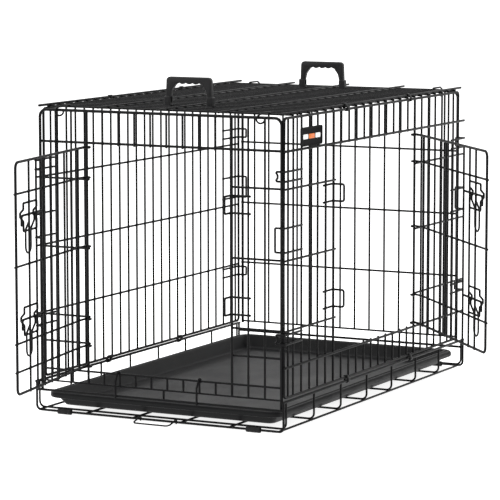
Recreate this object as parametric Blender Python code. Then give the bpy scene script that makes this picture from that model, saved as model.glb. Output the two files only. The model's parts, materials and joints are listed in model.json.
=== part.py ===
"""Folding wire dog crate with a front door, a side door, a slide-out tray and two carry handles.

Metres, +Z up. +X runs along the short front end from left to right, +Y from the front to the back.
The doors stand open, as at rest. The origin is on the floor, under the middle of the whole outline.
"""

import math

import bmesh
import bpy
from mathutils import Matrix, Quaternion, Vector

# Driving dimensions
PITCH = 0.0375                    # centre to centre of the upright wires
END_GAPS = 15                     # wire gaps across an end panel
SIDE_GAPS = 21                    # full wire gaps along a side panel
HALF_WIDTH = END_GAPS * PITCH / 2
DEPTH_GAPS = 24.17
HALF_DEPTH = DEPTH_GAPS * PITCH / 2
BACK_HALF_WIDTH = HALF_WIDTH - 0.0055  # so that the back panel swings past the side door's hinge loops
ROOF_Z = 0.638

# Wire radii and clearances
THIN = 0.0017                     # mesh wire
FIRM = 0.0022                     # door jambs, bands and other wires that carry a weld
RAIL = 0.0026                     # posts and rails
LAYER = 0.0036                    # between the middles of two crossing wire layers
GAP = 0.0003
OVERHANG = 0.003                  # wire tip past the wire that it is welded to
THIN_SIDES = 6
RAIL_SIDES = 8
THIN_CORNER = THIN / math.cos(math.pi / THIN_SIDES)
FIRM_CORNER = FIRM / math.cos(math.pi / THIN_SIDES)
CORNER_STEPS = 2

# Heights
BAND_Z = 0.572
LEVELS = (0.496, 0.352, 0.209)
BACK_LEVELS = (0.502, 0.358, 0.215)
KNEE_Z = 0.153                    # extra short wires beside the front doorway
FRONT_SILL_Z = 0.094
FRONT_RAIL_Z = 0.0684
SIDE_RAIL_Z = 0.0735
SIDE_STEP_Z = 0.135               # lower edge of the side doorway

# Panels
SIDE_PLANE = HALF_WIDTH + 0.0056  # the side panels stand outside the end panels
SIDE_LAYER = SIDE_PLANE + LAYER
FLUSH_END = (0.0, 0.46 * PITCH)   # a side panel's last two uprights at one end, back from the posts
SHORT_END = (0.615 * PITCH, 1.365 * PITCH)    # and at the end where the panel stops short of them
FRONT_DOOR_GAPS = (3, 12)         # the upright wires that edge the front doorway
SIDE_DOOR_WIRES = (5, 16)         # the upright wires that edge the side doorway
POST_BEND = 0.015

# Base frame and tray
BASE_HALF_WIDTH = SIDE_PLANE + 0.0032
BASE_HALF_DEPTH = HALF_DEPTH + 0.0082
BASE_TOP_Z = 0.066
BASE_MID_Z = 0.049
BASE_RAIL_Z = 0.006
BASE_BEND = 0.008
FLOOR_WIRE_Z = 0.0070
CRADLE_Z = FLOOR_WIRE_Z + LAYER
CRADLE_BEND = 0.012
CRADLES = 8
FLOOR_WIRE_STEP = 3
TRAY_HALF_WIDTH = 0.2765
TRAY_HALF_DEPTH = 0.4535
TRAY_BOTTOM_Z = 0.0127
TRAY_RIM_Z = 0.044
TRAY_CORNER = 0.030
STOP_HALF_WIDTH = 0.042
STOP_REACH = 0.030
FOOT_X = 0.222
FOOT_RADIUS = BASE_RAIL_Z
FOOT_LENGTH = 0.032

# Roof
ROOF_GAPS = 22                    # wire gaps along the roof
CROSS_Z = ROOF_Z + RAIL + THIN + GAP
RUNNER_Z = CROSS_Z + LAYER
RUNNERS = 5
CROSS_OVERHANG = 0.0056
ROOF_EDGE = 0.0020                # the first and last cross wires, which carry the runners

# Doors: local +X runs from the hinge to the free edge, the hinge axis is at the local origin
DOOR_OVERLAP = 0.79 * PITCH
DOOR_FRAME = 0.0024
DOOR_BEND = 0.010
FRONT_DOOR_HEIGHTS = (0.105, 0.563)
FRONT_DOOR_LEVELS = (0.1487, 0.2045, 0.357, 0.5005)
FRONT_DOOR_OFFSET = 0.0058
FRONT_DOOR_OPEN = math.radians(80.8)
SIDE_DOOR_HEIGHTS = (0.142, 0.559)
SIDE_DOOR_LEVELS = (0.2045, 0.357, 0.5005)
SIDE_DOOR_OFFSET = 0.0088
SIDE_DOOR_OPEN = math.radians(42.3)
KNUCKLE_RADIUS = 0.0058           # the door's rails and cross wires curl round the jamb
KNUCKLE_TAPER = 0.020
FRONT_LATCH_HEIGHTS = {"upper": 0.4546, "lower": 0.248}
SIDE_LATCH_HEIGHTS = {"upper": 0.4635, "lower": 0.243}

# Latches, measured from the door's free edge
BOLT = 0.0023
LOOP = 0.0020
BOLT_TIP_BACK = 0.0410
BOLT_LENGTH = 0.108
BOLT_TIP_DROP = 0.020
HANDLE_LEGS = (0.079, 0.106)
HANDLE_STAND_OFF = 0.0075
HANDLE_DROP = 0.079
GUIDE_EDGES = (1.24 * PITCH, 3.05 * PITCH)
GUIDE_HEIGHTS = (-0.031, 0.0245)
GUIDE_NOTCH = 0.012
GUIDE_BOW = 0.0070

# Catches and hooks
CATCH_HEIGHTS = (-0.0118, 0.0236)  # about the bolt
CATCH_REACH = 0.022
CATCH_BEND = 0.004
HOOK_MIDDLE_Z = 0.394
HOOK_MIDDLE_HALF = 0.0245
HOOK_SMALL_ZS = {"upper": 0.522, "lower": 0.193}
HOOK_SMALL_HALF = 0.010
HOOK_ARM = 1.9 * PITCH            # length of a hook's arms, back from the post
HOOK_NOSE = 0.0105                # and how far it reaches past the post
HOOK_BEND = 0.002
TOP_HOOK_X = 0.234
TOP_HOOK_RADIUS = 0.0062
TOP_HOOK_LEG = 0.044
SILL_HOOK_XS = {"left": -0.097, "right": 0.094}
CLIP_LENGTH = 0.012
CLIP_WALL = 0.0012
CLIP_WIRES = {"front": 6.7, "back": 15.3}

# Handles
HANDLE_WIRES = {"front": 3, "back": 20}
HANDLE_X = -0.010
GRIP_HALF = 0.0523                # half length of the grip's top
GRIP_SPLAY = 0.0022               # and how much further apart the legs are at the foot
GRIP_HEIGHT = 0.0615
GRIP_THICK = 0.0140
GRIP_DEPTH = 0.012
FINGER_HALF = 0.0310              # half length of the finger grooves
FINGER_GROOVE = 0.0011
LEG_INSIDE = 0.0435               # half the clear width between the legs
FOOT_BLOCK = (0.0136, 0.0140, 0.0250)
FOOT_DROP = 0.0045                # foot block below the middle of its wire

# Nameplate
PLATE_LENGTH = 0.100
PLATE_HEIGHT = 0.039
PLATE_THICK = 0.0025
PLATE_Y = -HALF_DEPTH + 0.109
PLATE_Z = 0.596

BLACK_COAT = ((0.016, 0.016, 0.018, 1), 0.38, 0.0)
BLACK_PLASTIC = ((0.020, 0.020, 0.022, 1), 0.42, 0.0)
TRAY_PLASTIC = ((0.024, 0.024, 0.027, 1), 0.36, 0.0)
RUBBER = ((0.013, 0.013, 0.013, 1), 0.70, 0.0)


# Paths

def side_wire_y(number):
    """Y of a roof wire, and of an upright of the right side panel, counted from the front."""
    return (number - ROOF_GAPS / 2) * PITCH


def side_panel_ends(side):
    """Y of a side panel's end uprights. The panels are alike, with one turned half round about Z."""
    flush = [-side * (HALF_DEPTH - gap) for gap in FLUSH_END]
    short = [side * (HALF_DEPTH - gap) for gap in SHORT_END]
    return flush, short


def end_wire_x(number):
    """X of an end panel's upright wire, counted from the left post."""
    return -HALF_WIDTH + number * PITCH


def rounded(corners, bend, steps=CORNER_STEPS, closed=False):
    """The path through the corners, with each corner rounded to the bend radius."""
    points = [Vector(corner) for corner in corners]
    path = []
    for index, point in enumerate(points):
        if not closed and index in (0, len(points) - 1):
            path.append(point)
            continue
        to_last = (points[index - 1] - point).normalized()
        to_next = (points[(index + 1) % len(points)] - point).normalized()
        half = to_last.angle(to_next) / 2
        centre = point + (to_last + to_next).normalized() * (bend / math.sin(half))
        start = point + to_last * (bend / math.tan(half)) - centre
        end = point + to_next * (bend / math.tan(half)) - centre
        turn = start.rotation_difference(end)
        for step in range(steps + 1):
            spoke = start.copy()
            spoke.rotate(Quaternion().slerp(turn, step / steps))
            path.append(centre + spoke)
    return path


def arc(centre, radius, start, end, steps, axes=((0, 1, 0), (0, 0, 1))):
    """Points on an arc about a centre, in degrees from the first axis towards the second."""
    first = Vector(axes[0])
    second = Vector(axes[1])
    points = []
    for step in range(steps + 1):
        angle = math.radians(start + (end - start) * step / steps)
        points.append(Vector(centre) + first * radius * math.cos(angle) + second * radius * math.sin(angle))
    return points


# Solids

def add_wire(bm, path, radius, facing, sides=THIN_SIDES, closed=False):
    """Add a wire along a path, with mitred bends and one flat side towards the facing direction."""
    path = [Vector(point) for point in path]
    count = len(path)
    runs = [(path[(index + 1) % count] - path[index]).normalized() for index in range(count)]
    if not closed:
        runs[-1] = runs[-2]
    incoming = runs[-1] if closed else runs[0]
    normal = Vector(facing) - incoming * incoming.dot(Vector(facing))
    normal.normalize()
    corner_radius = radius / math.cos(math.pi / sides)
    rings = []
    for index, point in enumerate(path):
        outgoing = runs[index]
        across = incoming.cross(normal)
        mitre = (incoming + outgoing).normalized()
        ring = []
        for side in range(sides):
            angle = math.pi * (2 * side + 1) / sides
            offset = (normal * math.cos(angle) + across * math.sin(angle)) * corner_radius
            offset -= incoming * (offset.dot(mitre) / incoming.dot(mitre))
            ring.append(bm.verts.new(point + offset))
        rings.append(ring)
        normal.rotate(incoming.rotation_difference(outgoing))
        incoming = outgoing
    joins = count if closed else count - 1
    for index in range(joins):
        ring = rings[index]
        after = rings[(index + 1) % count]
        for side in range(sides):
            other = (side + 1) % sides
            bm.faces.new((ring[side], ring[other], after[other], after[side]))
    if not closed:
        bm.faces.new(reversed(rings[0]))
        bm.faces.new(rings[-1])


def add_stack(bm, rings, closed=False):
    """Skin a stack of outlines that have the same number of points."""
    loops = [[bm.verts.new(point) for point in ring] for ring in rings]
    size = len(loops[0])
    joins = len(loops) if closed else len(loops) - 1
    for index in range(joins):
        low = loops[index]
        high = loops[(index + 1) % len(loops)]
        for corner in range(size):
            other = (corner + 1) % size
            bm.faces.new((low[corner], low[other], high[other], high[corner]))
    if not closed:
        bm.faces.new(reversed(loops[0]))
        bm.faces.new(loops[-1])


def add_box(bm, low, high):
    """Add a box between two corners."""
    corners = [(low[0], low[1]), (high[0], low[1]), (high[0], high[1]), (low[0], high[1])]
    add_stack(bm, [[(x, y, z) for x, y in corners] for z in (low[2], high[2])])


def rounded_rectangle(half_x, half_y, radius, z, steps=5):
    """The outline of a rounded rectangle at a height."""
    corners = [(-half_x, -half_y, z), (half_x, -half_y, z), (half_x, half_y, z), (-half_x, half_y, z)]
    return rounded(corners, radius, steps, closed=True)


# Objects

def finish(node, look, smooth_below=66):
    """Shade the object and give it a material of its own."""
    colour, roughness, metallic = look
    material = bpy.data.materials.new(node.name)
    material.use_nodes = True
    shader = material.node_tree.nodes["Principled BSDF"]
    shader.inputs["Base Color"].default_value = colour
    shader.inputs["Roughness"].default_value = roughness
    shader.inputs["Metallic"].default_value = metallic
    material.diffuse_color = colour
    node.data.materials.clear()
    node.data.materials.append(material)
    node.data.shade_smooth()
    node.data.set_sharp_from_angle(angle=math.radians(smooth_below))
    return node


def loose_object(name, fill):
    """A new object whose mesh is made by the fill function."""
    bm = bmesh.new()
    fill(bm)
    bmesh.ops.recalc_face_normals(bm, faces=bm.faces)
    mesh = bpy.data.meshes.new(name)
    bm.to_mesh(mesh)
    bm.free()
    node = bpy.data.objects.new(name, mesh)
    bpy.context.scene.collection.objects.link(node)
    return node


def welded(name, *fills):
    """One solid: the union of the groups of wires that the fill functions make."""
    node = loose_object(name, fills[0])
    for fill in fills[1:]:
        other = loose_object(name + "_group", fill)
        union = node.modifiers.new("weld", "BOOLEAN")
        union.operation = "UNION"
        union.solver = "EXACT"
        union.object = other
        graph = bpy.context.evaluated_depsgraph_get()
        joined = bpy.data.meshes.new_from_object(node.evaluated_get(graph))
        node.modifiers.clear()
        node.data = joined
        bpy.data.objects.remove(other)
    node.data.name = name
    return node


def pivot(name, location, turn=0.0):
    """An empty on a joint's axis."""
    empty = bpy.data.objects.new(name, None)
    empty.location = location
    empty.rotation_euler.z = turn
    bpy.context.scene.collection.objects.link(empty)
    return empty


def set_origin(node, point):
    """Move the object's origin to a point and leave its mesh where it is."""
    node.data.transform(Matrix.Translation(-Vector(point)))
    node.location = point


# Base frame, feet, tray and tray stop

def base_frame():
    """The wire basket that holds the tray."""

    ends = (-BASE_HALF_DEPTH, BASE_HALF_DEPTH)

    def sides(bm):
        y = BASE_HALF_DEPTH
        for x in (-BASE_HALF_WIDTH, BASE_HALF_WIDTH):
            corners = [(x, -y, BASE_RAIL_Z), (x, -y, BASE_TOP_Z), (x, y, BASE_TOP_Z), (x, y, BASE_RAIL_Z)]
            add_wire(bm, rounded(corners, BASE_BEND), DOOR_FRAME, (1, 0, 0), RAIL_SIDES)

    def end_rails(bm):
        reach = BASE_HALF_WIDTH + OVERHANG
        for y in ends:
            add_wire(bm, [(-reach, y, BASE_RAIL_Z), (reach, y, BASE_RAIL_Z)], RAIL, (0, 1, 0), RAIL_SIDES)
            middle = [(-BASE_HALF_WIDTH, y, BASE_MID_Z), (BASE_HALF_WIDTH, y, BASE_MID_Z)]
            add_wire(bm, middle, FIRM, (0, 1, 0))

    def floor(bm):
        for number in range(0, END_GAPS + 1, FLOOR_WIRE_STEP):
            x = end_wire_x(number)
            add_wire(bm, [(x, ends[0], FLOOR_WIRE_Z), (x, ends[1], FLOOR_WIRE_Z)], THIN, (0, 0, 1))
        x = BASE_HALF_WIDTH
        reach = HALF_DEPTH - OVERHANG
        for number in range(CRADLES):
            y = -reach + 2 * reach * number / (CRADLES - 1)
            corners = [(-x, y, BASE_TOP_Z), (-x, y, CRADLE_Z), (x, y, CRADLE_Z), (x, y, BASE_TOP_Z)]
            add_wire(bm, rounded(corners, CRADLE_BEND), THIN, (0, 1, 0))

    return finish(welded("base_frame", sides, end_rails, floor), BLACK_COAT)


def foot(name, x, y):
    """A plastic sleeve on a bottom rail, flat where it stands on the floor."""
    bore = RAIL + GAP

    def fill(bm):
        profile = [(-FOOT_LENGTH / 2, FOOT_RADIUS), (FOOT_LENGTH / 2, FOOT_RADIUS),
                   (FOOT_LENGTH / 2, bore), (-FOOT_LENGTH / 2, bore)]
        sides = 12
        rings = []
        for along, radius in profile:
            reach = radius / math.cos(math.pi / sides)
            angles = [math.pi * (2 * side + 1) / sides for side in range(sides)]
            rings.append([(along, reach * math.sin(angle), reach * math.cos(angle)) for angle in angles])
        add_stack(bm, rings, closed=True)

    node = finish(loose_object(name, fill), RUBBER, 50)
    node.location = (x, y, BASE_RAIL_Z)
    return node


def tray():
    """The plastic tray: a shallow pan with a wide rolled rim and a raised floor panel."""
    profile = [                       # inset from the rim, height, up the outside and down the inside
        (0.064, TRAY_BOTTOM_Z + 0.002),
        (0.058, TRAY_BOTTOM_Z),
        (0.016, TRAY_BOTTOM_Z),
        (0.0125, TRAY_BOTTOM_Z + 0.005),
        (0.011, TRAY_RIM_Z - 0.012),
        (0.0, TRAY_RIM_Z - 0.011),
        (0.0, TRAY_RIM_Z - 0.003),
        (0.003, TRAY_RIM_Z),
        (0.012, TRAY_RIM_Z),
        (0.016, TRAY_RIM_Z - 0.004),
        (0.021, TRAY_BOTTOM_Z + 0.006),
        (0.026, TRAY_BOTTOM_Z + 0.002),
        (0.057, TRAY_BOTTOM_Z + 0.002),
        (0.063, TRAY_BOTTOM_Z + 0.004),
    ]

    def fill(bm):
        rings = []
        for inset, z in profile:
            corner = max(TRAY_CORNER - inset, 0.008)
            rings.append(rounded_rectangle(TRAY_HALF_WIDTH - inset, TRAY_HALF_DEPTH - inset, corner, z, 4))
        add_stack(bm, rings)

    return finish(loose_object("tray", fill), TRAY_PLASTIC, 40)


def pan_stop():
    """The wire flap that stops the tray, hinged on the front bottom rail and lying flat."""
    y = -BASE_HALF_DEPTH
    z = BASE_RAIL_Z
    radius = THIN - GAP

    def fill(bm):
        turn = RAIL + radius + 3 * GAP
        left = arc((-STOP_HALF_WIDTH, y, z), turn, -50, 150, 6)
        right = arc((STOP_HALF_WIDTH, y, z), turn, 150, -50, 6)
        low = radius + 3 * GAP
        bar = [(-STOP_HALF_WIDTH, y - STOP_REACH, low), (STOP_HALF_WIDTH, y - STOP_REACH, low)]
        add_wire(bm, left[:-1] + rounded([left[-1], *bar, right[0]], 0.008) + right[1:], radius, (1, 0, 0))

    node = finish(loose_object("pan_stop", fill), BLACK_COAT)
    set_origin(node, (0, y, z))
    return node


# Panels

def end_frame(bm, x, y, rail_z):
    """The post, top rail and post of an end panel, as one bent wire, with the posts at -x and x."""
    foot_z = rail_z - OVERHANG
    corners = [(-x, y, foot_z), (-x, y, ROOF_Z), (x, y, ROOF_Z), (x, y, foot_z)]
    add_wire(bm, rounded(corners, POST_BEND, 3), RAIL, (0, 1, 0), RAIL_SIDES)


def bottom_rail(bm, x, y, rail_z):
    """The bottom rail of an end panel, from post to post."""
    add_wire(bm, [(-x, y, rail_z), (x, y, rail_z)], DOOR_FRAME, (0, 1, 0), RAIL_SIDES)


def front_panel():
    """The short front end, with the front doorway."""
    y = -HALF_DEPTH
    back = y + LAYER
    left, right = FRONT_DOOR_GAPS

    def frame(bm):
        end_frame(bm, HALF_WIDTH, y, FRONT_RAIL_Z)

    def rails(bm):
        bottom_rail(bm, HALF_WIDTH, y, FRONT_RAIL_Z)
        bottom_rail(bm, HALF_WIDTH, y, FRONT_SILL_Z)

    def uprights(bm):
        for number in range(1, END_GAPS):
            x = end_wire_x(number)
            if left < number < right:
                add_wire(bm, [(x, y, FRONT_RAIL_Z), (x, y, FRONT_SILL_Z)], THIN, (0, 1, 0))
                add_wire(bm, [(x, y, BAND_Z - OVERHANG), (x, y, ROOF_Z)], THIN, (0, 1, 0))
                continue
            radius = FIRM if number in FRONT_DOOR_GAPS else THIN
            add_wire(bm, [(x, y, FRONT_RAIL_Z), (x, y, ROOF_Z)], radius, (0, 1, 0))

    def cross_wires(bm):
        reach = HALF_WIDTH + OVERHANG
        add_wire(bm, [(-reach, back, BAND_Z), (reach, back, BAND_Z)], FIRM, (0, 1, 0))
        for z in (*LEVELS, KNEE_Z):
            add_wire(bm, [(-reach, back, z), (end_wire_x(left) + OVERHANG, back, z)], THIN, (0, 1, 0))
            add_wire(bm, [(end_wire_x(right) - OVERHANG, back, z), (reach, back, z)], THIN, (0, 1, 0))

    return finish(welded("front_panel", frame, rails, uprights, cross_wires), BLACK_COAT)


def back_panel():
    """The short back end, which swings inwards about its top rail."""
    y = HALF_DEPTH
    inner = y - LAYER

    def frame(bm):
        end_frame(bm, BACK_HALF_WIDTH, y, SIDE_RAIL_Z)

    def rails(bm):
        bottom_rail(bm, BACK_HALF_WIDTH, y, SIDE_RAIL_Z)

    def uprights(bm):
        for number in range(1, END_GAPS):
            x = end_wire_x(number)
            add_wire(bm, [(x, y, SIDE_RAIL_Z), (x, y, ROOF_Z)], THIN, (0, 1, 0))

    def cross_wires(bm):
        reach = BACK_HALF_WIDTH + OVERHANG / 2
        for z in BACK_LEVELS:
            add_wire(bm, [(-reach, inner, z), (reach, inner, z)], THIN, (0, 1, 0))

    node = finish(welded("back_panel", frame, rails, uprights, cross_wires), BLACK_COAT)
    set_origin(node, (0, y, ROOF_Z))
    return node


def side_panel(name, side, doorway):
    """A long side panel. Its cross wires lie on the outside and reach past the end panels' posts."""
    plane = side * SIDE_PLANE
    outer = side * SIDE_LAYER
    first, last = SIDE_DOOR_WIRES
    (start, near), (stop, far) = side_panel_ends(side)

    def frame(bm):
        corners = [(plane, start, SIDE_RAIL_Z), (plane, stop, SIDE_RAIL_Z), (plane, stop, ROOF_Z),
                   (plane, start, ROOF_Z)]
        path = rounded(corners, POST_BEND / 2, closed=True)
        add_wire(bm, path, DOOR_FRAME, (1, 0, 0), RAIL_SIDES, closed=True)

    def uprights(bm):
        for y in (near, far):
            add_wire(bm, [(plane, y, SIDE_RAIL_Z), (plane, y, ROOF_Z)], THIN, (1, 0, 0))
        for number in range(SIDE_GAPS + 1):
            y = side * side_wire_y(number)
            if doorway and first < number < last:
                add_wire(bm, [(plane, y, SIDE_RAIL_Z), (plane, y, SIDE_STEP_Z + OVERHANG)], THIN, (1, 0, 0))
                add_wire(bm, [(plane, y, BAND_Z - OVERHANG), (plane, y, ROOF_Z)], THIN, (1, 0, 0))
                continue
            radius = FIRM if doorway and number in SIDE_DOOR_WIRES else THIN
            add_wire(bm, [(plane, y, SIDE_RAIL_Z), (plane, y, ROOF_Z)], radius, (1, 0, 0))

    def cross_wires(bm):
        reach = HALF_DEPTH + OVERHANG
        if not doorway:
            for z in LEVELS:
                add_wire(bm, [(outer, -reach, z), (outer, reach, z)], THIN, (1, 0, 0))
            return
        for z in (BAND_Z, SIDE_STEP_Z):
            add_wire(bm, [(outer, -reach, z), (outer, reach, z)], FIRM, (1, 0, 0))
        for z in LEVELS:
            add_wire(bm, [(outer, -reach, z), (outer, side_wire_y(first) + OVERHANG, z)], THIN, (1, 0, 0))
            add_wire(bm, [(outer, side_wire_y(last) - OVERHANG, z), (outer, reach, z)], THIN, (1, 0, 0))

    return finish(welded(name, frame, uprights, cross_wires), BLACK_COAT)


def top_panel():
    """The roof: cross wires on the side panels' top rails, and long runners over them."""

    def cross_wires(bm):
        reach = HALF_WIDTH + CROSS_OVERHANG
        for number in range(ROOF_GAPS + 1):
            y = side_wire_y(number)
            radius = ROOF_EDGE if number in (0, ROOF_GAPS) else THIN
            add_wire(bm, [(-reach, y, CROSS_Z), (reach, y, CROSS_Z)], radius, (0, 0, 1))

    def runners(bm):
        reach = HALF_DEPTH + OVERHANG
        for number in range(RUNNERS):
            x = end_wire_x(END_GAPS * number / (RUNNERS - 1))
            radius = FIRM if number in (0, RUNNERS - 1) else THIN
            add_wire(bm, [(x, -reach, RUNNER_Z), (x, reach, RUNNER_Z)], radius, (0, 0, 1))

    return finish(welded("top_panel", cross_wires, runners), BLACK_COAT)


# Doors and latches

def door(name, width, heights, levels, offset, outward, hinge):
    """A door on hinge loops. Outward is the sign of local Y that faces away from the crate."""
    low, high = heights
    plane = outward * offset
    outer = plane + outward * LAYER

    def knuckle(z):
        return arc((0, 0, z), KNUCKLE_RADIUS, 90, 335, 8, ((1, 0, 0), (0, outward, 0)))

    def frame(bm):
        corners = [(KNUCKLE_TAPER, plane, low), (width, plane, low), (width, plane, high),
                   (KNUCKLE_TAPER, plane, high)]
        path = list(reversed(knuckle(low))) + rounded(corners, DOOR_BEND) + knuckle(high)
        add_wire(bm, path, DOOR_FRAME, (0, 0, 1), RAIL_SIDES)

    def uprights(bm):
        for number in range(1, int(width / PITCH)):
            x = number * PITCH
            radius = FIRM if number == 1 else THIN
            add_wire(bm, [(x, plane, low), (x, plane, high)], radius, (0, 1, 0))

    def cross_wires(bm):
        for z in levels:
            path = [Vector((width, outer, z)), Vector((KNUCKLE_TAPER, outer, z)), *knuckle(z)]
            add_wire(bm, path, THIN, (0, 0, 1))

    node = finish(welded(name, frame, uprights, cross_wires), BLACK_COAT)
    node.parent = hinge
    return node


def guide(name, width, offset, outward, z, hinge):
    """The wire loop on a door that carries a bolt: each side is bowed out over the bolt."""
    flat = outward * (offset + 2 * THIN + GAP)
    bowed = outward * (offset + 2 * THIN + GUIDE_BOW)
    edges = (width - GUIDE_EDGES[0], width - GUIDE_EDGES[1])
    low, high = (z + height for height in GUIDE_HEIGHTS)

    def fill(bm):
        path = []
        for x, (start, end) in zip(edges, ((low, high), (high, low))):
            turn = GUIDE_NOTCH if end > start else -GUIDE_NOTCH
            path += [(x, flat, start), (x, flat, z - turn), (x, bowed, z - turn / 3),
                     (x, bowed, z + turn / 3), (x, flat, z + turn), (x, flat, end)]
        add_wire(bm, path, THIN, (0, 1, 0), closed=True)

    node = finish(loose_object(name, fill), BLACK_COAT)
    node.parent = hinge
    return node


def bolt(name, width, offset, outward, z, hinge):
    """A sliding bolt: a rod with a bent tip and a long loop to pull it by, drawn back at rest."""
    depth = outward * (offset + THIN + 2 * GAP + BOLT + 0.0005)
    stand_off = depth + outward * HANDLE_STAND_OFF
    tip = width - BOLT_TIP_BACK
    legs = [width - leg for leg in HANDLE_LEGS]

    def rod(bm):
        corners = [(tip, depth, z - BOLT_TIP_DROP), (tip, depth, z), (tip - BOLT_LENGTH, depth, z)]
        add_wire(bm, rounded(corners, 0.006), BOLT, (0, 1, 0), RAIL_SIDES)

    def loop(bm):
        radius = (legs[0] - legs[1]) / 2
        middle = (legs[0] + legs[1]) / 2
        centre = (middle, stand_off, z - HANDLE_DROP + radius)
        bottom = arc(centre, radius, 0, -180, 6, ((1, 0, 0), (0, 0, 1)))
        path = [(legs[0], depth, z), (legs[0], depth, z - 0.014), (legs[0], stand_off, z - 0.032), *bottom,
                (legs[1], stand_off, z - 0.032), (legs[1], depth, z - 0.014), (legs[1], depth, z)]
        add_wire(bm, path, LOOP, (0, 1, 0))

    node = finish(welded(name, rod, loop), BLACK_COAT)
    set_origin(node, (tip, depth, z))
    node.parent = hinge
    return node


def doors():
    """Both doors, each with two bolts and their guides, swung open about their jambs."""
    front_hinge = pivot("front_door_hinge", (end_wire_x(FRONT_DOOR_GAPS[0]), -HALF_DEPTH, 0),
                        -FRONT_DOOR_OPEN)
    side_hinge = pivot("side_door_hinge", (SIDE_PLANE, side_wire_y(SIDE_DOOR_WIRES[1]), 0),
                       SIDE_DOOR_OPEN - math.pi / 2)
    front_width = (FRONT_DOOR_GAPS[1] - FRONT_DOOR_GAPS[0]) * PITCH + DOOR_OVERLAP
    side_width = (SIDE_DOOR_WIRES[1] - SIDE_DOOR_WIRES[0]) * PITCH + DOOR_OVERLAP
    door("front_door", front_width, FRONT_DOOR_HEIGHTS, FRONT_DOOR_LEVELS, FRONT_DOOR_OFFSET, -1, front_hinge)
    door("side_door", side_width, SIDE_DOOR_HEIGHTS, SIDE_DOOR_LEVELS, SIDE_DOOR_OFFSET, 1, side_hinge)
    front = ("front_door", FRONT_LATCH_HEIGHTS, front_width, FRONT_DOOR_OFFSET, -1, front_hinge)
    side = ("side_door", SIDE_LATCH_HEIGHTS, side_width, SIDE_DOOR_OFFSET, 1, side_hinge)
    for door_name, heights, width, offset, outward, hinge in (front, side):
        for level, z in heights.items():
            guide(f"{door_name}_{level}_bolt_guide", width, offset, outward, z, hinge)
            bolt(f"{door_name}_{level}_bolt", width, offset, outward, z, hinge)


# Catches, hooks and clips

def staple(name, route, low, high, bend, steps):
    """A C-shaped wire: two arms along a level route, joined by an upright at the route's last point."""

    def fill(bm):
        upper = [(x, y, high) for x, y in route]
        lower = [(x, y, low) for x, y in reversed(route)]
        add_wire(bm, rounded(upper + lower, bend, steps), THIN, (0, 0, 1))

    return finish(loose_object(name, fill), BLACK_COAT)


def catches():
    """The staples that the bolts slide behind, beside each doorway."""
    clear = FIRM_CORNER + GAP + THIN_CORNER
    front_x = end_wire_x(FRONT_DOOR_GAPS[1])
    side_y = side_wire_y(SIDE_DOOR_WIRES[0])
    front_route = [(front_x + PITCH + OVERHANG, -HALF_DEPTH + clear), (front_x - clear, -HALF_DEPTH + clear),
                   (front_x - clear, -HALF_DEPTH - CATCH_REACH)]
    side_route = [(SIDE_PLANE - clear, side_y - PITCH - OVERHANG), (SIDE_PLANE - clear, side_y + clear),
                  (SIDE_PLANE + CATCH_REACH, side_y + clear)]
    for door_name, route, heights in (("front_door", front_route, FRONT_LATCH_HEIGHTS),
                                      ("side_door", side_route, SIDE_LATCH_HEIGHTS)):
        for level, z in heights.items():
            staple(f"{door_name}_{level}_catch", route, z + CATCH_HEIGHTS[0], z + CATCH_HEIGHTS[1],
                   CATCH_BEND, 2)


def corner_hooks():
    """Three wire hooks at each corner, on the side panels, which reach round the end panels' posts."""
    outside = RAIL + 2 * GAP + THIN
    for end_name, end in (("front", -1), ("back", 1)):
        for side_name, side in (("left", -1), ("right", 1)):
            past_post = end * (HALF_DEPTH + outside)
            nose = side * (HALF_WIDTH - HOOK_NOSE)
            x = side * (SIDE_PLANE + DOOR_FRAME + GAP + THIN)
            corner = f"{end_name}_{side_name}"
            route = [(x, end * (HALF_DEPTH - HOOK_ARM)), (x, past_post), (nose, past_post)]
            middle = (HOOK_MIDDLE_Z - HOOK_MIDDLE_HALF, HOOK_MIDDLE_Z + HOOK_MIDDLE_HALF)
            staple(f"{corner}_middle_hook", route, *middle, HOOK_BEND, 1)
            for level, z in HOOK_SMALL_ZS.items():
                staple(f"{corner}_{level}_hook", route, z - HOOK_SMALL_HALF, z + HOOK_SMALL_HALF,
                       HOOK_BEND, 1)


def top_hooks():
    """Hooks on the roof that the end panels' top rails hang in."""
    for end_name, end in (("front", -1), ("back", 1)):
        for side_name, side in (("left", -1), ("right", 1)):
            x = side * TOP_HOOK_X
            y = end * HALF_DEPTH
            leg_z = CROSS_Z + FIRM + THIN

            def fill(bm):
                loop = arc((x, y, ROOF_Z), TOP_HOOK_RADIUS, 65, -190, 9, ((0, end, 0), (0, 0, 1)))
                leg = [Vector((x, y - end * TOP_HOOK_LEG, leg_z)), Vector((x, y - end * 0.004, leg_z))]
                add_wire(bm, leg + loop, THIN - 0.0002, (1, 0, 0))

            finish(loose_object(f"{end_name}_{side_name}_top_hook", fill), BLACK_COAT)


def sill_hooks():
    """Hooks that hang on the front panel's sill and hold it down in front of the base frame."""
    front = BASE_HALF_DEPTH + RAIL + GAP + THIN
    for side_name, x in SILL_HOOK_XS.items():

        def fill(bm):
            shank = [(x, -front, BASE_MID_Z - FIRM), (x, -front, FRONT_SILL_Z - 0.014)]
            loop = arc((x, -HALF_DEPTH, FRONT_SILL_Z), RAIL + 3 * GAP + THIN, 175, -40, 8)
            add_wire(bm, shank + loop, THIN, (1, 0, 0))

        finish(loose_object(f"front_{side_name}_sill_hook", fill), BLACK_COAT)


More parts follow.
